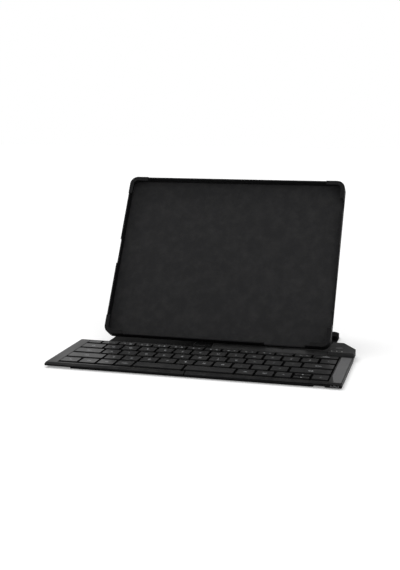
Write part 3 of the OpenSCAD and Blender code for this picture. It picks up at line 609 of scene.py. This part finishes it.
# %% [markdown]
# ## Keycaps
#
# A keycap of such a thin keyboard is a low tile with rounded corners. Its sides slope in
# towards the top, most of all in front, so that the row in front never hides the whole gap:
# seen low over the table, these slopes, painted near black as painted shade, are what draws
# the pattern of the keys. The top has a very shallow dish for the fingertip. One cap of each
# size is modelled from a cube: its upright edges are bevelled, the top is extruded upwards
# and made smaller and shifted back, and then it is inset twice, for the rim and for the
# dish. The caps of one row are copies, each with its own mesh. The top, with its dish, is
# level or nearly so and gets the keycap plastic. The slopes are steeper and get a near-black,
# almost glossless copy of it: painted shade for the dark sides of the caps and the gaps.

# %% Helper: one keycap
cap_z0, cap_z1 = cap_low.z, cap_high.z
cap_corner, cap_chamfer, cap_dish, dish_rim = 1.2, 0.12, 0.1, 0.9
corner_segments = 6
upright_from = 1e-5  # metres of height between an edge's ends
# Cap faces whose normal has a Z below the second value get the painted shade of the slopes.
looks_up, slope_shade_below = 0.9, 0.985  # Z of a face's normal
cap_smooth_below = 16  # degrees between faces
slope_height, slope_front, slope_side, slope_rear = 0.6, 2.5, 0.6, 0.8
cap_shapes = {}


def pick(obj, kind, test):
    """Selects the faces or edges of a mesh in edit mode that pass a test."""
    bpy.ops.object.mode_set(mode="EDIT")
    bpy.ops.mesh.select_mode(type=kind)
    bpy.ops.mesh.select_all(action="DESELECT")
    bpy.ops.object.mode_set(mode="OBJECT")
    mesh = obj.data
    if kind == "FACE":
        for face in mesh.polygons:
            face.select = test(face.normal, face.center)
    else:
        for edge in mesh.edges:
            edge.select = test(*[mesh.vertices[v].co for v in edge.vertices])
    bpy.ops.object.mode_set(mode="EDIT")


def model_cap(width, depth):
    """A cap of that size in millimetres, its middle on the Z axis, at the caps' height."""
    shoulder = cap_z1 - mm(slope_height)
    bpy.ops.object.select_all(action="DESELECT")
    bpy.ops.mesh.primitive_cube_add(size=1, location=(0, 0, (cap_z0 + shoulder) / 2))
    cap = bpy.context.object
    cap.scale = (mm(width), mm(depth), shoulder - cap_z0)
    bpy.ops.object.transform_apply(location=True, rotation=True, scale=True)
    pick(cap, "EDGE", lambda a, b: abs(a.z - b.z) > upright_from)
    bpy.ops.mesh.bevel(offset=mm(cap_corner), segments=corner_segments, affect="EDGES")
    pick(cap, "FACE", lambda normal, place: normal.z > looks_up)
    top_width = width - 2 * slope_side
    top_depth = depth - slope_front - slope_rear
    bpy.ops.mesh.extrude_region_move(TRANSFORM_OT_translate={"value": (0, 0, mm(slope_height))})
    bpy.ops.transform.resize(value=(top_width / width, top_depth / depth, 1),
                             center_override=(0, 0, cap_z1))
    bpy.ops.transform.translate(value=(0, mm(slope_front - slope_rear) / 2, 0))
    bpy.ops.mesh.inset(thickness=mm(cap_chamfer), depth=0)
    bpy.ops.mesh.inset(thickness=mm(dish_rim), depth=-mm(cap_dish))
    bpy.ops.object.mode_set(mode="OBJECT")
    cap.data.materials.append(key_matt)
    cap.data.materials.append(key_slope_shade)
    # Level top faces keep the keycap plastic, and all steeper faces get the near-black painted
    # shade.
    for face in cap.data.polygons:
        face.material_index = 0 if face.normal.z > slope_shade_below else 1
    return cap


def cap_mesh(width, depth):
    """A mesh of its own for a cap of that size, which is modelled only once."""
    size = (round(width, 2), round(depth, 2))
    if size not in cap_shapes:
        made = model_cap(*size)
        cap_shapes[size] = made.data
        bpy.data.objects.remove(made)
    return cap_shapes[size].copy()


print("cap height mm", round(1000 * (cap_z1 - cap_z0), 2))

# %% [markdown]
# The rows are read from the frame: each CAD node of caps says where its row starts and ends,
# and the number of caps in it is known from the layout. Wide keys at the row ends have a
# node of their own. The two halves of the middle arrow key lie one above the other.

# %% Which caps each node holds
key_gap = 1.5
wide_first = {"number_keys_left": 16.1, "left_modifier_keys": 20.5}
caps_in = {
    "number_keys_left": 7, "tab_key": 1, "upper_letter_keys_left": 5, "caps_lock_key": 1,
    "middle_letter_keys_left": 5, "left_shift_key": 1, "lower_letter_keys_left": 5,
    "left_modifier_keys": 4, "left_space_key": 1, "number_keys_right": 6, "backspace_key": 1,
    "upper_letter_keys_right": 7, "backslash_key": 1, "middle_letter_keys_right": 6,
    "enter_key": 1, "lower_letter_keys_right": 5, "right_shift_key": 1, "right_space_key": 1,
    "right_modifier_keys": 2, "left_arrow_key": 1, "up_down_keys": 2, "right_arrow_key": 1}


def cap_places(node_name):
    """(x0, y0, x1, y1) of every cap of a node, in metres."""
    low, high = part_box(node_name)
    count = caps_in[node_name]
    if node_name == "up_down_keys":
        half = (high.y - low.y - mm(key_gap / 2)) / 2
        return [(low.x, low.y, high.x, low.y + half), (low.x, high.y - half, high.x, high.y)]
    starts, x = [], low.x
    if node_name in wide_first:
        first = mm(wide_first[node_name] - key_gap)
        starts.append((x, x + first))
        x += first + mm(key_gap)
        count -= 1
    unit = (high.x - x - mm(key_gap) * (count - 1)) / count
    for i in range(count):
        starts.append((x, x + unit))
        x += unit + mm(key_gap)
    return [(a, low.y, b, high.y) for a, b in starts]


def join_pieces(pieces, name):
    bpy.ops.object.select_all(action="DESELECT")
    for piece in pieces:
        piece.select_set(True)
    bpy.context.view_layer.objects.active = pieces[0]
    if len(pieces) > 1:
        bpy.ops.object.join()
    pieces[0].name = name
    return pieces[0]


# %% Make and place the caps
for node_name in caps_in:
    row = []
    for x0, y0, x1, y1 in cap_places(node_name):
        shape = cap_mesh(1000 * (x1 - x0), 1000 * (y1 - y0))
        cap = bpy.data.objects.new("cap", shape)
        bpy.context.scene.collection.objects.link(cap)
        cap.location = ((x0 + x1) / 2, (y0 + y1) / 2, 0)
        row.append(cap)
    caps = join_pieces(row, node_name.replace("_keys", "").replace("_key", "") + "_caps")
    only(caps)
    bpy.ops.object.transform_apply(location=True, rotation=True, scale=True)
    bpy.ops.object.shade_smooth_by_angle(angle=math.radians(cap_smooth_below))
    flatten_shading(caps)
    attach(caps, body_of_node(node_name))
    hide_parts(node_name)
print("cap sizes modelled", len(cap_shapes), "caps placed", sum(caps_in.values()))

# %% [markdown]
# ## Printed signs on the keys
#
# Letters, digits and arrows are pad-printed on real caps, a few hundredths of a millimetre
# thick. Here each one is a text object in Blender's own plain font, thinly extruded and made
# a mesh before it is laid in the dish of its cap. All the signs of a node are one piece,
# which moves with the node's caps. A number key carries two signs side by side. The plain
# font is a little thin for such small print, so its outlines are made slightly fatter.

# %% What is printed on each node's caps
signs_of = {
    "number_keys_left": ["` ~", "1 !", "2 @", "3 #", "4 $", "5 %", "6 ^"],
    "number_keys_right": ["7 &", "8 *", "9 (", "0 )", "- _", "= +"],
    "backspace_key": ["delete"], "tab_key": ["tab"], "upper_letter_keys_left": list("QWERT"),
    "upper_letter_keys_right": list("YUIOP[]"), "backslash_key": ["\\"], "caps_lock_key": ["caps"],
    "middle_letter_keys_left": list("ASDFG"), "middle_letter_keys_right": list("HJKL;'"),
    "enter_key": ["enter"], "left_shift_key": ["shift"], "lower_letter_keys_left": list("ZXCVB"),
    "lower_letter_keys_right": list("NM,./"), "right_shift_key": ["shift"],
    "left_modifier_keys": ["fn", "ctrl", "alt", "menu"], "right_modifier_keys": ["alt", "ctrl"],
    "left_arrow_key": ["<"], "up_down_keys": ["v", "^"], "right_arrow_key": [">"]}
letter_size, digit_size, word_size, arrow_size = 3.9, 3.3, 2.9, 2.2
print_lift, fatter_by, curve_steps = 0.012, 0.06, 3
cap_middle, left_sign, right_sign = 0.5, 0.36, 0.72  # shares of a cap's width
arrow_turn = {"^": 0, "<": 90, "v": 180, ">": 270}
sign_z = cap_z1 - mm(cap_dish)


# %% Helpers: one sign
def printed_text(words, size):
    bpy.ops.object.select_all(action="DESELECT")
    bpy.ops.object.text_add(location=(0, 0, 0))
    sign = bpy.context.object
    sign.data.body = words
    sign.data.size = mm(size)
    sign.data.align_x, sign.data.align_y = "CENTER", "CENTER"
    sign.data.extrude = mm(print_lift)
    sign.data.offset = mm(fatter_by)
    sign.data.resolution_u = curve_steps
    bpy.ops.object.convert(target="MESH")
    return bpy.context.object


def printed_arrow(turn):
    bpy.ops.object.select_all(action="DESELECT")
    bpy.ops.mesh.primitive_cylinder_add(vertices=3, radius=mm(arrow_size / 2),
                                        depth=mm(2 * print_lift))
    sign = bpy.context.object
    bpy.ops.object.mode_set(mode="EDIT")
    bpy.ops.mesh.select_all(action="SELECT")
    bpy.ops.transform.rotate(value=-math.radians(turn), orient_axis="Z", center_override=(0, 0, 0))
    bpy.ops.object.mode_set(mode="OBJECT")
    return sign


def signs_for(text, x0, y0, x1, y1):
    """The signs of one cap, laid on the middle of its top face."""
    middle = (y0 + y1 + mm(slope_front - slope_rear)) / 2
    if text in arrow_turn:
        marks = [(printed_arrow(arrow_turn[text]), cap_middle)]
    elif " " in text:
        lower, upper = text.split(" ")
        marks = [(printed_text(lower, digit_size), left_sign),
                 (printed_text(upper, digit_size), right_sign)]
    else:
        size = letter_size if len(text) == 1 else word_size
        marks = [(printed_text(text, size), cap_middle)]
    for mark, share in marks:
        mark.location = (x0 + share * (x1 - x0), middle, sign_z)
    return [mark for mark, share in marks]


# %% Print the signs of every node
sign_count = 0
for node_name, texts in signs_of.items():
    marks = []
    for text, place in zip(texts, cap_places(node_name)):
        marks += signs_for(text, *place)
    sign_count += len(marks)
    signs = join_pieces(marks, node_name.replace("_keys", "").replace("_key", "") + "_signs")
    only(signs)
    bpy.ops.object.transform_apply(location=True, rotation=True, scale=True)
    bpy.ops.object.mode_set(mode="EDIT")
    bpy.ops.mesh.select_all(action="SELECT")
    bpy.ops.mesh.remove_doubles(threshold=weld_distance)
    bpy.ops.object.mode_set(mode="OBJECT")
    signs.data.materials.clear()
    signs.data.materials.append(sign_ink)
    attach(signs, body_of_node(node_name))
print("signs printed", sign_count)

# %% [markdown]
# ## Size of the dressed model
#
# The dressed model has to stay inside the CAD model's box, so the difference between its box and
# the CAD box is printed.

# %% Sizes
new_low, new_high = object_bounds()
grown = (new_high - new_low) - (cad_high - cad_low)
print("visual minus CAD, mm", [round(1000 * v, 2) for v in grown])
